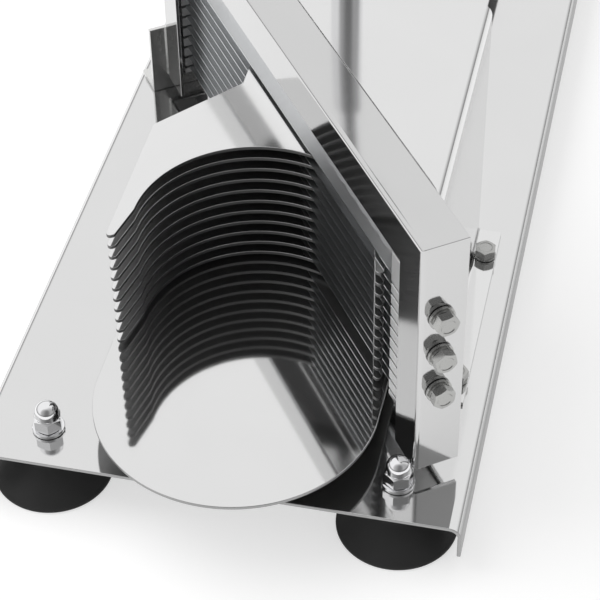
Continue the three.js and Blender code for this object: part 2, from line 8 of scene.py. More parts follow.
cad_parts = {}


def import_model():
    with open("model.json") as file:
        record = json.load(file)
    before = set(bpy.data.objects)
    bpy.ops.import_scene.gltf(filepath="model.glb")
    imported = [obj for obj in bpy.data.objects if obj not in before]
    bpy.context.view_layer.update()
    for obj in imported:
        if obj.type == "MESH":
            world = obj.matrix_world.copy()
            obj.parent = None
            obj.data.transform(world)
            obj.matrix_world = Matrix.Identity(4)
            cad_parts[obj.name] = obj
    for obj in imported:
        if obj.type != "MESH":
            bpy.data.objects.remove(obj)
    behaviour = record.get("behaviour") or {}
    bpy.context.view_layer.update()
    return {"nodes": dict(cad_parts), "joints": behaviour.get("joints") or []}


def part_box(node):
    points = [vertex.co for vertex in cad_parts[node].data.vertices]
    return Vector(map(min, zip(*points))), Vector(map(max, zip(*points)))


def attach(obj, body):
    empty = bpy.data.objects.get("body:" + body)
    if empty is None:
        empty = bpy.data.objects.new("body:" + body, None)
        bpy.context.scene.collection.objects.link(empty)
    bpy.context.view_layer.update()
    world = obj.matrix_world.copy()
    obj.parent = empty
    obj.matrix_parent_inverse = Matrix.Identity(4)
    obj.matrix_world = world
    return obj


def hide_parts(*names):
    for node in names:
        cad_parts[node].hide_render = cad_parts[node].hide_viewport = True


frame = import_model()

# Millimetres in the deck's own axes: X across, Y from the front edge, Z from the top face

MM = 0.001
deck_low, deck_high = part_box("base_deck")
HOME = Matrix.Translation((0, deck_low.y, deck_high.z)) @ Matrix.Scale(MM, 4)

FRAME_ANGLE = radians(35.4)
FRAME_CORNER = (73.65, 19, 0)
ALONG_FRAME = HOME @ Matrix.Translation(FRAME_CORNER) @ Matrix.Rotation(FRAME_ANGLE, 4, "Z")

FEET = ("front_left", "front_right", "back_left", "back_right")
SLICES = range(1, 12)
BOLTS = range(1, 4)

# Room between a piece and what it sits on, and round what passes through it
SEAT_GAP = 0.3
SCREW_PLAY = 0.3


def at(x, y, z=0):
    return HOME @ Matrix.Translation((x, y, z))


def span(node, axes=HOME):
    """The lowest and highest corner of a node, in millimetres of the given axes."""
    back = axes.inverted()
    points = [back @ vertex.co for vertex in frame["nodes"][node].data.vertices]
    low = Vector([min(point[i] for point in points) for i in range(3)])
    high = Vector([max(point[i] for point in points) for i in range(3)])
    return low, high


def centre(node, axes=HOME):
    low, high = span(node, axes)
    return (low + high) / 2


# Meshes

SHARP = radians(32)
BLUNT = radians(38)
PLATE_FLAT = radians(1)
COPY_FLAT = radians(0.6)
WELD_GAP = 0.002
SHEET_EDGE = 0.3
SHANK_STEPS = 40
FINE_STEPS = 96


def new_object(name, mesh, axes):
    mesh.transform(axes)
    made = bpy.data.objects.new(name, mesh)
    bpy.context.scene.collection.objects.link(made)
    return made


def from_bmesh(name, bm, axes):
    bmesh.ops.recalc_face_normals(bm, faces=bm.faces)
    mesh = bpy.data.meshes.new(name)
    bm.to_mesh(mesh)
    bm.free()
    return new_object(name, mesh, axes)


def arc(cx, cy, radius, start, end, steps):
    angles = [radians(start + (end - start) * i / steps) for i in range(steps + 1)]
    return [(cx + radius * cos(a), cy + radius * sin(a)) for a in angles]


def circle(cx, cy, radius, steps=48):
    return arc(cx, cy, radius, 0, 360, steps)[:-1]


def plate(name, loops, low, high, axes=HOME):
    """A flat plate between two heights. The first loop is its outline and the others are holes."""
    bm = bmesh.new()
    edges = []
    for loop in loops:
        corners = [bm.verts.new((x, y, low)) for x, y in loop]
        edges += [bm.edges.new(pair) for pair in zip(corners, corners[1:] + corners[:1])]
    bmesh.ops.triangle_fill(bm, use_beauty=True, edges=edges)
    bmesh.ops.dissolve_limit(bm, angle_limit=PLATE_FLAT, verts=bm.verts, edges=bm.edges)
    grown = bmesh.ops.extrude_face_region(bm, geom=bm.faces[:])
    raised = [item for item in grown["geom"] if isinstance(item, bmesh.types.BMVert)]
    bmesh.ops.translate(bm, vec=(0, 0, high - low), verts=raised)
    return from_bmesh(name, bm, axes)


def skin(name, rings, axes=HOME, closed=False):
    """Quads between rings of equally many points, with its ends filled unless it is closed."""
    bm = bmesh.new()
    made = [[bm.verts.new(point) for point in ring] for ring in rings]
    pairs = list(zip(made, made[1:]))
    if closed:
        pairs.append((made[-1], made[0]))
    for near, far in pairs:
        for i in range(len(near)):
            j = (i + 1) % len(near)
            bm.faces.new((near[i], near[j], far[j], far[i]))
    if not closed:
        bm.faces.new(made[0])
        bm.faces.new(made[-1])
    return from_bmesh(name, bm, axes)


def lathe_rings(profile, steps):
    return [[(r * cos(2 * pi * i / steps), r * sin(2 * pi * i / steps), z) for i in range(steps)]
            for r, z in profile]


POINT_RADIUS = 0.01


def turned(name, profile, axes=HOME, steps=64, closed=False):
    """A profile of (radius, height) turned about Z. An end on the axis is a very small ring."""
    kept = [(max(r, POINT_RADIUS), z) for r, z in profile]
    return skin(name, lathe_rings(kept, steps), axes, closed)


# A round stops short of the middle of a side: it takes at most one part in this many
ROUND_LIMIT = 2.2


def rounded(profile, size, steps=3):
    """The same open profile with a small round at each inner corner."""
    made = [profile[0]]
    for before, corner, after in zip(profile, profile[1:], profile[2:]):
        here = Vector(corner)
        into = Vector(before) - here
        out = Vector(after) - here
        reach = min(size, into.length / ROUND_LIMIT, out.length / ROUND_LIMIT)
        first = here + into.normalized() * reach
        last = here + out.normalized() * reach
        for i in range(steps + 1):
            t = i / steps
            made.append(tuple(first * (1 - t) ** 2 + here * 2 * t * (1 - t) + last * t ** 2))
    made.append(profile[-1])
    return made


def copied(node, name):
    """A node's own mesh with its flat faces joined up, ready for softened edges."""
    source = frame["nodes"][node].data
    bm = bmesh.new()
    for vertex in source.vertices:
        bm.verts.new(vertex.co)
    bm.verts.ensure_lookup_table()
    for polygon in source.polygons:
        bm.faces.new([bm.verts[i] for i in polygon.vertices])
    bmesh.ops.remove_doubles(bm, verts=bm.verts, dist=WELD_GAP * MM)
    bmesh.ops.dissolve_limit(bm, angle_limit=COPY_FLAT, verts=bm.verts, edges=bm.edges)
    return from_bmesh(name, bm, Matrix.Identity(4))


def joined(name, parts):
    """Several objects as one."""
    bm = bmesh.new()
    for part in parts:
        bm.from_mesh(part.data)
        bpy.data.objects.remove(part)
    mesh = bpy.data.meshes.new(name)
    bm.to_mesh(mesh)
    bm.free()
    return new_object(name, mesh, Matrix.Identity(4))


def smooth(piece, angle=SHARP):
    for polygon in piece.data.polygons:
        polygon.use_smooth = True
    piece.data.set_sharp_from_angle(angle=angle)


def softened(piece, width=0.25, segments=2, angle=SHARP):
    """Worn edges: a small bevel wherever two faces meet at more than the given angle."""
    for polygon in piece.data.polygons:
        polygon.use_smooth = True
    bevel = piece.modifiers.new("edge", "BEVEL")
    bevel.width = width * MM
    bevel.segments = segments
    bevel.limit_method = "ANGLE"
    bevel.angle_limit = angle
    shading = piece.modifiers.new("shading", "WEIGHTED_NORMAL")
    shading.mode = "FACE_AREA"
    shading.weight = 100
    shading.keep_sharp = True
    return piece


def dress(piece, body, slot, *nodes, look=None):
    """Gives a piece its body and the slot's material, or another look of the same, and hides the
    nodes it stands for.
    """
    piece.data.materials.clear()
    piece.data.materials.append(MATERIALS[look or slot])
    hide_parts(*nodes)
    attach(piece, body)
    return piece


# Materials

def node_tree(name):
    material = bpy.data.materials.new(name)
    material.use_nodes = True
    tree = material.node_tree
    return material, tree.nodes, tree.links, tree.nodes["Principled BSDF"]


def noise(nodes, links, scale, stretch=(1, 1, 1), turn=0.0, detail=3, distortion=0.0):
    """Noise over the object's own metres, stretched along its grain."""
    place = nodes.new("ShaderNodeTexCoord")
    mapping = nodes.new("ShaderNodeMapping")
    mapping.vector_type = "TEXTURE"
    mapping.inputs["Rotation"].default_value = (0, 0, turn)
    mapping.inputs["Scale"].default_value = stretch
    texture = nodes.new("ShaderNodeTexNoise")
    texture.inputs["Scale"].default_value = scale
    texture.inputs["Detail"].default_value = detail
    texture.inputs["Distortion"].default_value = distortion
    links.new(place.outputs["Object"], mapping.inputs["Vector"])
    links.new(mapping.outputs["Vector"], texture.inputs["Vector"])
    return texture.outputs["Fac"]


def ranged(nodes, links, value, low, high, start=0.3, end=0.7, smoothly=False):
    """What lies between start and end, spread from low to high. Noise keeps to the defaults."""
    spread = nodes.new("ShaderNodeMapRange")
    if smoothly:
        spread.interpolation_type = "SMOOTHSTEP"
    spread.inputs["From Min"].default_value = start
    spread.inputs["From Max"].default_value = end
    spread.inputs["To Min"].default_value = low
    spread.inputs["To Max"].default_value = high
    links.new(value, spread.inputs["Value"])
    return spread.outputs["Result"]


def combined(nodes, links, operation, first, second, clamped=False):
    """One value from two, by ADD, MULTIPLY or MAXIMUM."""
    result = nodes.new("ShaderNodeMath")
    result.operation = operation
    result.use_clamp = clamped
    links.new(first, result.inputs[0])
    links.new(second, result.inputs[1])
    return result.outputs["Value"]


def blended(nodes, links, factor, first, second):
    mix = nodes.new("ShaderNodeMix")
    mix.data_type = "RGBA"
    mix.inputs["A"].default_value = (*first, 1)
    mix.inputs["B"].default_value = (*second, 1)
    links.new(factor, mix.inputs["Factor"])
    return mix.outputs["Result"]


def bumped(nodes, links, shader, height, strength, distance):
    bump = nodes.new("ShaderNodeBump")
    bump.inputs["Strength"].default_value = strength
    bump.inputs["Distance"].default_value = distance
    links.new(height, bump.inputs["Height"])
    links.new(bump.outputs["Normal"], shader.inputs["Normal"])


# How fine each pattern is, as the scale of noise over metres
GRAIN_SCALE = 2600
CLOUD_SCALE = 22
SMEAR_SCALE = 70
PLATING_SCALE = 900
FILM_SCALE = 160
DUST_SCALE = 120
PAPER_SCALE = 3

# How deep each relief is
GRAIN_DEPTH = 0.004
PLATING_DEPTH = 0.006
MOULD_DEPTH = 0.02

SMEAR_TURN = radians(24)
SMEAR_SHARE = 0.7


def steel(name, tone, roughness, spread, grain=(1, 1, 1), turn=0.0, relief=0.12, stain=0.04):
    """Stainless sheet: rolling grain, faint cloudy stains and wiped smears under a thin haze."""
    material, nodes, links, shader = node_tree(name)
    shader.inputs["Metallic"].default_value = 0.98
    fine = noise(nodes, links, GRAIN_SCALE, grain, turn, detail=2)
    cloud = noise(nodes, links, CLOUD_SCALE, detail=4, distortion=0.6)
    smear = noise(nodes, links, SMEAR_SCALE, (1, 0.3, 1), turn + SMEAR_TURN, detail=5,
                  distortion=1.2)
    dark = tuple(channel * (1 - stain) for channel in tone)
    links.new(blended(nodes, links, cloud, dark, tone), shader.inputs["Base Color"])
    low = max(roughness - spread / 2, 0.01)
    grained = ranged(nodes, links, fine, low, low + spread)
    wiped = ranged(nodes, links, smear, 0, spread * SMEAR_SHARE, start=0.5, end=0.75)
    links.new(combined(nodes, links, "ADD", grained, wiped, clamped=True),
              shader.inputs["Roughness"])
    bumped(nodes, links, shader, fine, relief, GRAIN_DEPTH * MM)
    return material


# A face turned away from up gets a rougher dull finish and a darker grey of painted shade below
# the first share of facing up, and counts as polished above the second
CUT_AND_SHADED_BELOW = 0.35
POLISHED_ABOVE = 0.75
CUT_ROUGHER = 0.32


def cut_and_shaded_plate(name, tone, roughness, spread, grain, shaded_cut_tone):
    """Plate polished on top; its edges, sides and underside are duller and rougher, in a darker
    grey that is painted shade.
    """
    material = steel(name, tone, roughness, spread, grain, relief=0.06)
    nodes, links = material.node_tree.nodes, material.node_tree.links
    shader = nodes["Principled BSDF"]
    facing = nodes.new("ShaderNodeSeparateXYZ")
    links.new(nodes.new("ShaderNodeTexCoord").outputs["Normal"], facing.inputs["Vector"])
    # Painted shade: faces turned away from up are darkened towards a flat grey, and also made
    # rougher
    sawn_and_shaded = ranged(nodes, links, facing.outputs["Z"], 1, 0, CUT_AND_SHADED_BELOW, POLISHED_ABOVE)
    base, rough = shader.inputs["Base Color"], shader.inputs["Roughness"]
    mix = nodes.new("ShaderNodeMix")
    mix.data_type = "RGBA"
    mix.inputs["B"].default_value = (shaded_cut_tone, shaded_cut_tone, shaded_cut_tone, 1)
    links.new(sawn_and_shaded, mix.inputs["Factor"])
    links.new(base.links[0].from_socket, mix.inputs["A"])
    links.new(mix.outputs["Result"], base)
    duller = nodes.new("ShaderNodeMath")
    duller.operation = "MULTIPLY_ADD"
    duller.inputs[1].default_value = CUT_ROUGHER
    links.new(sawn_and_shaded, duller.inputs[0])
    links.new(rough.links[0].from_socket, duller.inputs[2])
    links.new(duller.outputs["Value"], rough)
    return material


def plated(name, tone, roughness):
    """Bright plating with a faint orange peel."""
    material, nodes, links, shader = node_tree(name)
    shader.inputs["Metallic"].default_value = 1.0
    peel = noise(nodes, links, PLATING_SCALE, detail=2)
    film = noise(nodes, links, FILM_SCALE, detail=4)
    dark = tuple(channel * 0.93 for channel in tone)
    links.new(blended(nodes, links, film, dark, tone), shader.inputs["Base Color"])
    links.new(ranged(nodes, links, film, roughness, roughness * 2.2), shader.inputs["Roughness"])
    bumped(nodes, links, shader, peel, 0.15, PLATING_DEPTH * MM)
    return material


def moulded(name, tone, roughness, gloss, peel_scale, relief):
    """Plastic or rubber: a dark dielectric with a fine moulded skin and a little dust."""
    material, nodes, links, shader = node_tree(name)
    shader.inputs["Specular IOR Level"].default_value = gloss
    peel = noise(nodes, links, peel_scale, detail=3)
    dust = noise(nodes, links, DUST_SCALE, detail=6)
    pale = tuple(channel * 1.5 + 0.004 for channel in tone)
    links.new(blended(nodes, links, dust, tone, pale), shader.inputs["Base Color"])
    links.new(ranged(nodes, links, dust, roughness * 0.85, roughness * 1.2),
              shader.inputs["Roughness"])
    bumped(nodes, links, shader, peel, relief, MOULD_DEPTH * MM)
    return material


ALONG_Y = (1, 0.012, 1)
MATERIALS = {
    # The last number of each plate below is the darker grey of its edges, sides and underside,
    # which is painted shade
    "deck_steel": cut_and_shaded_plate("deck_steel", (0.74, 0.74, 0.74), 0.07, 0.03, ALONG_Y, 0.40),
    "bed_steel": cut_and_shaded_plate("bed_steel", (0.76, 0.76, 0.76), 0.05, 0.02, ALONG_Y, 0.36),
    "frame_steel": steel("frame_steel", (0.64, 0.64, 0.64), 0.09, 0.03, ALONG_Y, FRAME_ANGLE,
                         relief=0.05),
    "hood_steel": steel("hood_steel", (0.77, 0.77, 0.77), 0.08, 0.03, ALONG_Y, relief=0.04),
    "sheet_steel": steel("sheet_steel", (0.74, 0.74, 0.73), 0.26, 0.06, ALONG_Y),
    "rail_steel": steel("rail_steel", (0.44, 0.44, 0.43), 0.30, 0.06, ALONG_Y),
    "bar_steel": steel("bar_steel", (0.86, 0.86, 0.86), 0.46, 0.06, ALONG_Y, FRAME_ANGLE),
    "fin_steel": cut_and_shaded_plate("fin_steel", (0.80, 0.80, 0.80), 0.10, 0.03, (0.012, 1, 1), 0.17),
    "blade_steel": steel("blade_steel", (0.60, 0.61, 0.62), 0.30, 0.05, (0.02, 1, 1), FRAME_ANGLE),
    "bolt_steel": steel("bolt_steel", (0.47, 0.47, 0.46), 0.24, 0.10, relief=0.3, stain=0.15),
    "chrome": plated("chrome", (0.86, 0.86, 0.87), 0.035),
    "rubber": moulded("rubber", (0.018, 0.018, 0.018), 0.62, 0.35, 1800, 0.4),
    "black_plastic": moulded("black_plastic", (0.016, 0.016, 0.017), 0.42, 0.5, 2400, 0.35),
    "gloss_black": moulded("gloss_black", (0.008, 0.008, 0.009), 0.10, 0.5, 500, 0.08),
}


# Fasteners. A hexagon's sides meet its chamfer cone in curved lines

HEX_STEPS = 48
CHAMFER_ANGLE = radians(30)

# Shares of half the width across flats
CHAMFER_FROM = 0.97
CROWN = 0.93
DISH_RIM = 0.74
DISH_FLOOR = 0.66


def hex_ring(across, z):
    ring = []
    for i in range(HEX_STEPS):
        angle = 2 * pi * i / HEX_STEPS
        off = (angle % (pi / 3)) - pi / 6
        ring.append((across / 2 / cos(off), angle, z))
    return ring


def flat(ring):
    return [(r * cos(angle), r * sin(angle), z) for r, angle, z in ring]


def chamfered(ring, across, direction):
    """The ring where a 30 degree cone cuts the sides, above or below."""
    start = across / 2 * CHAMFER_FROM
    slope = direction * tan(CHAMFER_ANGLE)
    return [(r, angle, z - slope * max(0, r - start)) for r, angle, z in ring]


def capped(radius, z):
    return [(radius, 2 * pi * i / HEX_STEPS, z) for i in range(HEX_STEPS)]


def hexagon(name, across, low, high, axes, both=True, dished=0.0):
    """A hexagonal head or nut, chamfered above and, where asked, below."""
    rings = [capped(POINT_RADIUS, low), capped(across / 2 * CHAMFER_FROM, low)]
    rings.append(chamfered(hex_ring(across, low), across, -1) if both else hex_ring(across, low))
    rings.append(chamfered(hex_ring(across, high), across, 1))
    rings.append(capped(across / 2 * CROWN, high))
    if dished:
        rings.append(capped(across / 2 * DISH_RIM, high))
        rings.append(capped(across / 2 * DISH_FLOOR, high - dished))
    rings.append(capped(POINT_RADIUS, high - dished))
    return skin(name, [flat(ring) for ring in rings], axes)


def ring_plate(name, bore, radius, low, high, axes, edge=0.15):
    """A flat washer with its corners broken."""
    profile = [(bore, low + edge), (bore + edge, low), (radius - edge, low), (radius, low + edge),
               (radius, high - edge), (radius - edge, high), (bore + edge, high),
               (bore, high - edge)]
    return turned(name, profile, axes, closed=True)


SPRING_LIFT = 0.16


def spring_washer(name, bore, radius, low, high, axes, gap=12, steps=60):
    """A split ring whose two ends stand a little apart."""
    lift = (high - low) * SPRING_LIFT
    rings = []
    for i in range(steps + 1):
        share = i / steps
        angle = radians(gap / 2 + (360 - gap) * share)
        base = low + lift * share
        top = high - lift * (1 - share)
        section = [(bore, base), (radius, base), (radius, top), (bore, top)]
        rings.append([(r * cos(angle), r * sin(angle), z) for r, z in section])
    return skin(name, rings, axes)


# Shares of a thread's pitch
THREAD_DEPTH = 0.6
CREST_START = 0.45
CREST_END = 0.55
M5_PITCH = 0.8
M6_PITCH = 1.0


def threaded(radius, pitch, low, high):
    """The profile of a thread, cut as rings."""
    depth = THREAD_DEPTH * pitch
    turns = max(1, floor((high - low) / pitch))
    step = (high - low) / turns
    points = []
    for i in range(turns):
        base = low + i * step
        points += [(radius - depth, base), (radius, base + step * CREST_START),
                   (radius, base + step * CREST_END)]
    return [(0, low), *points, (radius - depth, high), (0, high)]


# Deck and feet

DECK_SHEET = 1.5
DECK_BEND = 5
BEND_STEPS = 14


def deck():
    """One folded sheet: its section runs up one side, over the top and down the other."""
    low, high = span("base_deck")
    half, bend = high.x, DECK_BEND
    inner = bend - DECK_SHEET
    section = [
        (half, low.z), *arc(half - bend, -bend, bend, 0, 90, BEND_STEPS),
        *arc(bend - half, -bend, bend, 90, 180, BEND_STEPS), (-half, low.z),
        (DECK_SHEET - half, low.z), *arc(bend - half, -bend, inner, 180, 90, BEND_STEPS),
        *arc(half - bend, -bend, inner, 90, 0, BEND_STEPS), (half - DECK_SHEET, low.z),
    ]
    rings = [[(x, y, z) for x, z in section] for y in (low.y, high.y)]
    piece = softened(skin("deck_sheet", rings), SHEET_EDGE, 3)
    dress(piece, "machine", "deck_steel", "base_deck")


CUP_WALL = 4
CUP_NECK = 8
CUP_NECK_RADIUS = 11
CUP_RIM = 2.2
CUP_RIM_STEP = 0.9
CUP_LIP_EDGE = 0.6
CUP_LIP_FOOT = 0.5
CUP_FLANK_DIP = 0.8
CUP_HOLLOW_DOME = 2.4
CUP_ROUND = 1.6
STUD_RADIUS = 3
STUD_IN_CUP = 8
NUT_ACROSS = 10
NUT_HEX = 5.3
NUT_DOME_RADIUS = 4.7
NUT_SHARP = radians(24)
DOME_STEPS = 12
DOME_COLLAR = 0.35
DOME_FILLET = 0.12
DOME_FILLET_LOW = 0.05
DOME_FILLET_HIGH = 0.25


def suction_cup(place):
    node = f"suction_cup_{place}"
    low, high = span(node)
    middle = centre(node)
    lip = (high.y - low.y) / 2
    socket = STUD_RADIUS + SCREW_PLAY
    neck_end = high.z - CUP_NECK
    rim_top = low.z + CUP_RIM
    hollow = rim_top + CUP_WALL
    flank = (CUP_NECK_RADIUS + lip) / 2
    profile = [
        (0, high.z - STUD_IN_CUP), (socket, high.z - STUD_IN_CUP), (socket, high.z),
        (CUP_NECK_RADIUS, high.z), (CUP_NECK_RADIUS, neck_end),
        (flank, (neck_end + rim_top) / 2 - CUP_FLANK_DIP), (lip - CUP_RIM_STEP, rim_top),
        (lip, rim_top - CUP_LIP_EDGE), (lip, low.z + CUP_LIP_FOOT), (lip - CUP_LIP_EDGE, low.z),
        (lip - CUP_WALL, low.z), (CUP_NECK_RADIUS, hollow - CUP_HOLLOW_DOME), (0, hollow),
    ]
    piece = turned(f"rubber_cup_{place}", rounded(profile, CUP_ROUND, 4),
                   at(middle.x, middle.y), FINE_STEPS)
    smooth(piece)
    dress(piece, "machine", "rubber", node)


def stud(place):
    node = f"cup_stud_{place}"
    low, high = span(node)
    middle = centre(node)
    piece = turned(f"threaded_stud_{place}", threaded(STUD_RADIUS, M6_PITCH, low.z, high.z),
                   at(middle.x, middle.y), SHANK_STEPS)
    smooth(piece)
    dress(piece, "machine", "bolt_steel", node)


def foot_washer(place):
    node = f"washer_{place}"
    low, high = span(node)
    middle = centre(node)
    piece = ring_plate(f"plated_washer_{place}", STUD_RADIUS + SCREW_PLAY, (high.x - low.x) / 2,
                       low.z, high.z, at(middle.x, middle.y))
    smooth(piece)
    dress(piece, "machine", "chrome", node)


# How far each nut is turned, in degrees
NUT_TURNS = {"front_left": 48, "front_right": 22, "back_left": 39, "back_right": 56}


def cap_nut(place):
    """A hexagon whose chamfered top runs into a tall dome."""
    node = f"cap_nut_{place}"
    low, high = span(node)
    middle = centre(node)
    hex_top = low.z + NUT_HEX
    collar = (high.z - hex_top) * DOME_COLLAR
    rise = high.z - hex_top - collar
    rings = [
        capped(POINT_RADIUS, low.z), capped(NUT_ACROSS / 2 * CHAMFER_FROM, low.z),
        chamfered(hex_ring(NUT_ACROSS, low.z), NUT_ACROSS, -1),
        chamfered(hex_ring(NUT_ACROSS, hex_top), NUT_ACROSS, 1),
        capped(NUT_DOME_RADIUS + DOME_FILLET, hex_top + DOME_FILLET_LOW),
        capped(NUT_DOME_RADIUS, hex_top + DOME_FILLET_HIGH),
    ]
    for i in range(DOME_STEPS + 1):
        angle = pi / 2 * i / DOME_STEPS
        radius = max(NUT_DOME_RADIUS * cos(angle), POINT_RADIUS)
        rings.append(capped(radius, hex_top + collar + rise * sin(angle)))
    axes = at(middle.x, middle.y) @ Matrix.Rotation(radians(NUT_TURNS[place]), 4, "Z")
    piece = skin(f"domed_nut_{place}", [flat(ring) for ring in rings], axes)
    smooth(piece, NUT_SHARP)
    dress(piece, "machine", "chrome", node)


def feet():
    for place in FEET:
        suction_cup(place)
        stud(place)
        foot_washer(place)
        cap_nut(place)


# Bed

SLOT_WIDTH = 14
SLOT_MARGIN = 5
SLOT_STEPS = 24
OUTLET_STEPS = 160


def bed():
    low, high = span("bed_plate")
    radius = (high.x - low.x) / 2
    middle = (high.x + low.x) / 2
    round_y = low.y + radius
    shoe_low, shoe_high = span("pusher_shoe")
    travel = frame["joints"][0]["range_m"][1] / MM
    half = SLOT_WIDTH / 2
    slot_front = shoe_low.y - SLOT_MARGIN + half
    slot_back = shoe_high.y + travel + SLOT_MARGIN - half
    outline = [(high.x, high.y), (low.x, high.y),
               *arc(middle, round_y, radius, 180, 360, OUTLET_STEPS)]
    slot = [*arc(middle, slot_back, half, 0, 180, SLOT_STEPS),
            *arc(middle, slot_front, half, 180, 360, SLOT_STEPS)]
    piece = softened(plate("bed_sheet", [outline, slot], low.z, high.z), SHEET_EDGE, 3)
    dress(piece, "machine", "bed_steel", "bed_plate")
    for side in ("left", "right"):
        node = f"bed_rail_{side}"
        rail = softened(copied(node, f"channel_{side}"), SHEET_EDGE)
        dress(rail, "machine", "sheet_steel", node, look="rail_steel")


# Blade frame

def frame_pan():
    piece = softened(copied("blade_frame", "frame_pan"), 0.5, 4, BLUNT)
    dress(piece, "machine", "frame_steel", "blade_frame")
    for side in ("near", "far"):
        node = f"blade_bar_{side}"
        bar = softened(copied(node, f"clamp_bar_{side}"), SHEET_EDGE)
        dress(bar, "machine", "sheet_steel", node, look="bar_steel")
    cheek = softened(copied("window_cheek", "cheek_plate"))
    dress(cheek, "machine", "frame_steel", "window_cheek")
    angle = softened(copied("frame_bracket", "angle_bracket"), 0.4, 3)
    dress(angle, "machine", "sheet_steel", "frame_bracket")


TENSION_RADIUS = 2.5
SCREW_TIP = 0.5
FLAT_PLAY = 0.2
SPRING_PLAY = 0.15
WASHER_RADIUS = 5
WASHER_THICKNESS = 1
SPRING_RADIUS = 4.2
SPRING_THICKNESS = 1.2
# How far each head is turned, in degrees, from the top down
HEAD_TURNS = (6, 40, 21)
HEAD_ACROSS = 8


def tension_bolt(number):
    """A hexagon screw along the frame, with its spring washer over a flat one."""
    node = f"tension_bolt_{number:02d}"
    low, high = span(node, ALONG_FRAME)
    middle = centre(node, ALONG_FRAME)
    axes = (ALONG_FRAME @ Matrix.Translation((middle.x, 0, middle.z))
            @ Matrix.Rotation(pi / 2, 4, "X"))
    seat = SEAT_GAP
    flat_top = seat + WASHER_THICKNESS
    spring_top = flat_top + SPRING_THICKNESS
    head_top = -low.y
    tip = -high.y
    headed = axes @ Matrix.Rotation(radians(HEAD_TURNS[number - 1]), 4, "Z")
    thread = [(0, tip), (TENSION_RADIUS - SCREW_TIP, tip),
              *threaded(TENSION_RADIUS, M5_PITCH, tip + SCREW_TIP, seat)[1:-1],
              (TENSION_RADIUS, seat), (TENSION_RADIUS, spring_top), (0, spring_top)]
    parts = [
        turned("shank", thread, axes, SHANK_STEPS),
        ring_plate("flat", TENSION_RADIUS + FLAT_PLAY, WASHER_RADIUS, seat, flat_top, axes),
        spring_washer("spring", TENSION_RADIUS + SPRING_PLAY, SPRING_RADIUS, flat_top, spring_top,
                      headed),
        hexagon("head", HEAD_ACROSS, spring_top, head_top, headed, both=False, dished=0.25),
    ]
    piece = joined(f"tension_screw_{number:02d}", parts)
    smooth(piece)
    dress(piece, "machine", "bolt_steel", node)


BLADE_GRIND = 2.4
BLADE_EDGE = 0.05
GRIND_ANGLE = radians(5)
TEETH_START = 42
TOOTH_COUNT = 19
TOOTH_PITCH = 10
TOOTH_DEPTH = 0.5
TOOTH_STEPS = 8


def blade(number):
    """A serrated blade: flat at the front, ground down to scalloped teeth at the back."""
    node = f"blade_{number:02d}"
    low, high = span(node, ALONG_FRAME)
    count = floor((high.y - low.y) / TOOTH_PITCH * TOOTH_STEPS)
    step = (high.y - low.y) / count
    first_tip = TEETH_START + TOOTH_PITCH / 2
    last_tip = first_tip + TOOTH_PITCH * TOOTH_COUNT
    middle = (low.z + high.z) / 2
    half = (high.z - low.z) / 2
    rings = []
    for i in range(count + 1):
        y = low.y + step * i
        if first_tip <= y <= last_tip:
            edge = high.x - TOOTH_DEPTH * abs(sin(pi * (y - first_tip) / TOOTH_PITCH))
        else:
            edge = high.x - TOOTH_DEPTH / 2
        ground = edge - BLADE_GRIND
        section = [(low.x, half), (ground, half), (edge, BLADE_EDGE), (edge, -BLADE_EDGE),
                   (ground, -half), (low.x, -half)]
        rings.append([(x, y, middle + z) for x, z in section])
    piece = skin(f"serrated_blade_{number:02d}", rings, ALONG_FRAME)
    smooth(piece, GRIND_ANGLE)
    dress(piece, "machine", "blade_steel", node)


# Hood

HOOD_BOLT_RADIUS = 2.5
HOOD_BOLT_ACROSS = 8
HOOD_BOLT_HEAD = 3.5
HOOD_BOLT_WASHER = 1
HOOD_WASHER_RADIUS = 4.4
HOOD_NUT = 4
HOOD_WASHER_PLAY = 0.1
HOOD_WASHER_EDGE = 0.12

# How far each head and its nut are turned, in degrees
HOOD_TURNS = {"front": 12, "back": 34}


def hood_bolt(place):
    node = f"hood_bolt_{place}"
    low, high = span(node)
    middle = centre(node)
    axes = at(middle.x, middle.y)
    headed = axes @ Matrix.Rotation(radians(HOOD_TURNS[place]), 4, "Z")
    head_low = high.z - HOOD_BOLT_HEAD
    washer_low = head_low - HOOD_BOLT_WASHER
    nut_high = -DECK_SHEET - SEAT_GAP
    parts = [
        turned("shank", threaded(HOOD_BOLT_RADIUS, M5_PITCH, low.z, head_low), axes, SHANK_STEPS),
        ring_plate("flat", HOOD_BOLT_RADIUS + HOOD_WASHER_PLAY, HOOD_WASHER_RADIUS, washer_low,
                   head_low, axes, HOOD_WASHER_EDGE),
        hexagon("head", HOOD_BOLT_ACROSS, head_low, high.z, headed, both=False, dished=0.2),
        hexagon("nut", HOOD_BOLT_ACROSS, nut_high - HOOD_NUT, nut_high, headed),
    ]
    piece = joined(f"hood_screw_{place}", parts)
    smooth(piece)
    dress(piece, "machine", "bolt_steel", node)


def hood():
    piece = softened(copied("guard_hood", "hood_sheet"), SHEET_EDGE, 3)
    dress(piece, "machine", "hood_steel", "guard_hood")
    for place in HOOD_TURNS:
        hood_bolt(place)


# Pusher

FIN_TIP_WIDTH = 3.2
FIN_TIP_RADIUS = 1.5
FIN_BAY_RADIUS = 45.8
FIN_BAY_Y = 69.3
FIN_SHOULDER_Y = 119.8
FIN_SHOULDER_ROUND = 2
FIN_SHOULDER_LEAD = 1
FIN_CHAMFER = radians(49)
FIN_TIP_INNER = 0.6
BAY_STEPS = 120
TAIL_HALF = 24


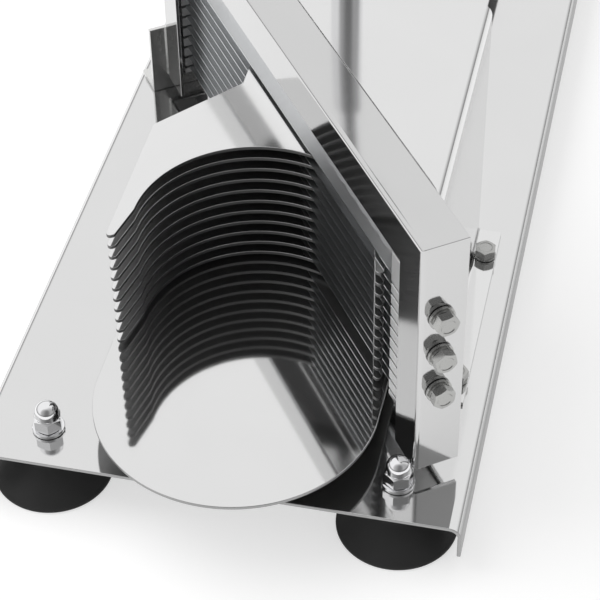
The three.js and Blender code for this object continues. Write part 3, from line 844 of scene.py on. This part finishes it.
def fin_outline(low, high):
    middle = (low.x + high.x) / 2
    half = (high.x - low.x) / 2
    neck_y = FIN_SHOULDER_Y + (half - TAIL_HALF) * tan(FIN_CHAMFER)
    side = [
        (half - FIN_TIP_WIDTH, low.y + FIN_TIP_RADIUS * FIN_TIP_INNER),
        *arc(half - FIN_TIP_RADIUS, low.y + FIN_TIP_RADIUS, FIN_TIP_RADIUS, 245, 360, 12),
        *arc(half - FIN_SHOULDER_ROUND, FIN_SHOULDER_Y - FIN_SHOULDER_LEAD, FIN_SHOULDER_ROUND,
             0, degrees(pi / 2 - FIN_CHAMFER), 6),
        (TAIL_HALF, neck_y), (TAIL_HALF, high.y),
    ]
    bay = arc(0, FIN_BAY_Y, FIN_BAY_RADIUS, 180, 0, BAY_STEPS)
    mirrored = [(-x, y) for x, y in side][::-1]
    return [(middle + x, y) for x, y in [*side, *mirrored, *bay]]


TIE_RADIUS = 3
POST_RADIUS = 6.4
LONG_BOLT_RADIUS = 3
FIN_HOLES = {"fin_tie": TIE_RADIUS, "handle_post": POST_RADIUS, "tie_bolt": LONG_BOLT_RADIUS}


def fin(number):
    node = f"fin_{number:02d}"
    low, high = span(node)
    holes = []
    for other, radius in FIN_HOLES.items():
        place = centre(other)
        holes.append(circle(place.x, place.y, radius + SCREW_PLAY))
    piece = plate(f"steel_fin_{number:02d}", [fin_outline(low, high), *holes], low.z, high.z)
    dress(softened(piece, segments=3), "pusher", "fin_steel", node)


LONG_BOLT_HEAD = 2.4
LONG_BOLT_PLAIN = 1
SOCKET_RADIUS = 1.6
SOCKET_DEPTH = 1.2


def tie_bolt():
    """A long bolt with a socket in its head, which is below."""
    low, high = span("tie_bolt")
    middle = centre("tie_bolt")
    radius = (high.x - low.x) / 2
    seat = low.z + LONG_BOLT_HEAD
    profile = [
        (0, low.z + SOCKET_DEPTH), (SOCKET_RADIUS, low.z + SOCKET_DEPTH), (SOCKET_RADIUS, low.z),
        (radius, low.z), (radius, seat), (LONG_BOLT_RADIUS, seat),
        *threaded(LONG_BOLT_RADIUS, M6_PITCH, seat + LONG_BOLT_PLAIN, high.z)[2:-1], (0, high.z),
    ]
    piece = turned("long_bolt", rounded(profile, 0.12, 2), at(middle.x, middle.y), SHANK_STEPS)
    smooth(piece)
    dress(piece, "pusher", "bolt_steel", "tie_bolt")


COLLAR_RADIUS = 5.5
COLLAR_CHAMFER = 1


def fin_tie():
    """A thin rod with a round collar between each two fins and a button at both ends."""
    low, high = span("fin_tie")
    middle = centre("fin_tie")
    profile = [(0, low.z), (COLLAR_RADIUS, low.z)]
    for number in reversed(SLICES):
        fin_low, fin_high = span(f"fin_{number:02d}")
        below, above = fin_low.z - SEAT_GAP, fin_high.z + SEAT_GAP
        profile += [(COLLAR_RADIUS, below), (TIE_RADIUS, below), (TIE_RADIUS, above),
                    (COLLAR_RADIUS, above)]
    profile += [(COLLAR_RADIUS, high.z - COLLAR_CHAMFER), (COLLAR_RADIUS - COLLAR_CHAMFER, high.z),
                (0, high.z)]
    piece = turned("collared_tie", rounded(profile, 0.3), at(middle.x, middle.y), 48)
    smooth(piece)
    dress(piece, "pusher", "bolt_steel", "fin_tie")


POST_SHOULDER_Z = 186.7
POST_SHOULDER_START = 2.2
POST_ROUND = 2
POST_ROUND_STEPS = 8
ROD_RADIUS = 4.1
ROD_CHAMFER = 0.6
BALL_NECK = 7
BALL_NECK_EDGE = 0.8
BALL_SOCKET = 3
BALL_STEPS = 40


def handle_post():
    low, high = span("handle_post")
    middle = centre("handle_post")
    radius = (high.x - low.x) / 2
    profile = [
        (0, low.z), (radius, low.z), (radius, POST_SHOULDER_Z - POST_SHOULDER_START),
        *arc(radius - POST_ROUND, POST_SHOULDER_Z - POST_ROUND, POST_ROUND, 0, 80,
             POST_ROUND_STEPS),
        (ROD_RADIUS, POST_SHOULDER_Z), (ROD_RADIUS, high.z - ROD_CHAMFER),
        (ROD_RADIUS - ROD_CHAMFER, high.z), (0, high.z),
    ]
    piece = turned("plated_post", rounded(profile, 0.25), at(middle.x, middle.y), FINE_STEPS)
    smooth(piece)
    dress(piece, "pusher", "chrome", "handle_post")


def grip_ball():
    low, high = span("grip_ball")
    middle = centre("handle_post")
    ball = (high.x - low.x) / 2
    bore = ROD_RADIUS + SCREW_PLAY
    sphere = arc(0, high.z - ball, ball, -degrees(acos(BALL_NECK / ball)), 90, BALL_STEPS)
    profile = [
        (bore, low.z + BALL_SOCKET), (bore, low.z), (BALL_NECK - BALL_NECK_EDGE, low.z),
        (BALL_NECK, low.z + BALL_NECK_EDGE), *sphere[:-1], (0, high.z),
    ]
    piece = turned("ball_grip", profile, at(middle.x, middle.y), FINE_STEPS)
    smooth(piece)
    dress(piece, "pusher", "gloss_black", "grip_ball")


def pusher():
    for number in SLICES:
        fin(number)
    block = softened(copied("pusher_block", "comb_block"), 0.4, 3, BLUNT)
    dress(block, "pusher", "black_plastic", "pusher_block")
    shoe = softened(copied("pusher_shoe", "slide_shoe"), 0.5, 3, BLUNT)
    dress(shoe, "pusher", "black_plastic", "pusher_shoe")
    tie_bolt()
    fin_tie()
    handle_post()
    grip_ball()


# Stage

FLOOR_SIZE = 30
FLOOR_TONES = ((0.56, 0.56, 0.56), (0.58, 0.58, 0.58))
FLOOR_LIFT = 0.55


def seen_by(nodes, links, *rays):
    """1 for the named kinds of ray, or else 0."""
    path = nodes.new("ShaderNodeLightPath")
    seen = path.outputs[rays[0]]
    for ray in rays[1:]:
        seen = combined(nodes, links, "MAXIMUM", seen, path.outputs[ray])
    return seen


def floor_material():
    """Pale paper, seen as white outside the soft shadow, in mirrors too."""
    material, nodes, links, shader = node_tree("pale_floor")
    shader.inputs["Specular IOR Level"].default_value = 0.0
    shader.inputs["Roughness"].default_value = 1.0
    faint = noise(nodes, links, PAPER_SCALE, detail=2)
    links.new(blended(nodes, links, faint, *FLOOR_TONES), shader.inputs["Base Color"])
    shader.inputs["Emission Color"].default_value = WHITE
    lift = nodes.new("ShaderNodeMath")
    lift.operation = "MULTIPLY"
    lift.inputs[1].default_value = FLOOR_LIFT
    links.new(seen_by(nodes, links, "Is Camera Ray", "Is Glossy Ray", "Is Transmission Ray"),
              lift.inputs[0])
    links.new(lift.outputs["Value"], shader.inputs["Emission Strength"])
    return material


def floor_sheet():
    mesh = bpy.data.meshes.new("floor")
    half = FLOOR_SIZE / 2
    mesh.from_pydata([(-half, -half, 0), (half, -half, 0), (half, half, 0), (-half, half, 0)], [],
                     [(0, 1, 2, 3)])
    made = bpy.data.objects.new("floor", mesh)
    bpy.context.scene.collection.objects.link(made)
    mesh.materials.append(floor_material())


# What polished steel sees of the studio, as (direction, outer angle, inner angle, what is left)
FLAGS = (
    ((0.05, -0.80, 0.60), 50, 24, 0.45),
    ((0.75, -0.55, 0.35), 72, 34, 0.45),
)
HORIZON_HEIGHT = 0.40
HORIZON_SHADE = 0.30
SOFT_GREY = (0.62, 0.62, 0.62, 1)
WHITE = (1, 1, 1, 1)


def flagged(nodes, links, direction, toward, outer, inner, left):
    """A factor that falls from 1 to `left` round one direction."""
    dot = nodes.new("ShaderNodeVectorMath")
    dot.operation = "DOT_PRODUCT"
    dot.inputs[1].default_value = Vector(toward).normalized()
    links.new(direction, dot.inputs[0])
    return ranged(nodes, links, dot.outputs["Value"], 1, left, cos(radians(outer)),
                  cos(radians(inner)), smoothly=True)


def world():
    """A white tent with grey flags on the photographer's side and a greyer horizon."""
    made = bpy.data.worlds.new("tent")
    bpy.context.scene.world = made
    made.use_nodes = True
    nodes, links = made.node_tree.nodes, made.node_tree.links
    nodes.clear()
    output = nodes.new("ShaderNodeOutputWorld")
    direction = nodes.new("ShaderNodeTexCoord").outputs["Generated"]
    parts = nodes.new("ShaderNodeSeparateXYZ")
    links.new(direction, parts.inputs["Vector"])
    level = ranged(nodes, links, parts.outputs["Z"], HORIZON_SHADE, 1, 0, HORIZON_HEIGHT,
                   smoothly=True)
    for flag in FLAGS:
        level = combined(nodes, links, "MULTIPLY", level, flagged(nodes, links, direction, *flag))

    white = nodes.new("ShaderNodeBackground")
    white.inputs["Color"].default_value = WHITE
    tent = nodes.new("ShaderNodeBackground")
    links.new(level, tent.inputs["Color"])
    soft = nodes.new("ShaderNodeBackground")
    soft.inputs["Color"].default_value = SOFT_GREY

    first = nodes.new("ShaderNodeMixShader")
    links.new(seen_by(nodes, links, "Is Glossy Ray"), first.inputs["Fac"])
    links.new(soft.outputs["Background"], first.inputs[1])
    links.new(tent.outputs["Background"], first.inputs[2])
    second = nodes.new("ShaderNodeMixShader")
    links.new(seen_by(nodes, links, "Is Camera Ray", "Is Transmission Ray"), second.inputs["Fac"])
    links.new(first.outputs["Shader"], second.inputs[1])
    links.new(white.outputs["Background"], second.inputs[2])
    links.new(second.outputs["Shader"], output.inputs["Surface"])


def softbox(name, place, aim, size, power):
    lamp = bpy.data.lights.new(name, "AREA")
    lamp.shape = "RECTANGLE"
    lamp.size, lamp.size_y = size
    lamp.energy = power
    made = bpy.data.objects.new(name, lamp)
    made.visible_glossy = False
    made.location = place
    made.rotation_euler = (Vector(aim) - Vector(place)).to_track_quat("-Z", "Y").to_euler()
    bpy.context.scene.collection.objects.link(made)


def lights():
    softbox("left_softbox", place=(-1.1, 0.1, 1.3), aim=(0, 0, 0.05), size=(1.6, 1.6), power=17)


# Camera: turned a little left of the lane, looking down

CAMERA_PLACE = (148.37, -480.91, 574.14)
CAMERA_AZIMUTH = radians(13.16)
CAMERA_DOWN = radians(43.55)
CAMERA_ROLL = radians(-1.01)
FOCAL_PIXELS = 2043.6
IMAGE_PIXELS = 600
SENSOR_WIDTH = 36


def camera():
    forward = Vector((-sin(CAMERA_AZIMUTH) * cos(CAMERA_DOWN),
                      cos(CAMERA_AZIMUTH) * cos(CAMERA_DOWN), -sin(CAMERA_DOWN)))
    level = Vector((cos(CAMERA_AZIMUTH), sin(CAMERA_AZIMUTH), 0))
    raised = level.cross(forward)
    right = level * cos(CAMERA_ROLL) + raised * sin(CAMERA_ROLL)
    up = raised * cos(CAMERA_ROLL) - level * sin(CAMERA_ROLL)
    lens = bpy.data.cameras.new("camera")
    lens.sensor_width = SENSOR_WIDTH
    lens.lens = FOCAL_PIXELS * SENSOR_WIDTH / IMAGE_PIXELS
    made = bpy.data.objects.new("camera", lens)
    axes = Matrix((right, up, -forward)).transposed().to_4x4()
    made.matrix_world = Matrix.Translation(HOME @ Vector(CAMERA_PLACE)) @ axes
    bpy.context.scene.collection.objects.link(made)
    bpy.context.scene.camera = made


deck()
feet()
bed()
frame_pan()
for bolt_number in BOLTS:
    tension_bolt(bolt_number)
for blade_number in SLICES:
    blade(blade_number)
hood()
pusher()
floor_sheet()
world()
lights()
camera()
bpy.context.scene.view_settings.view_transform = "Standard"
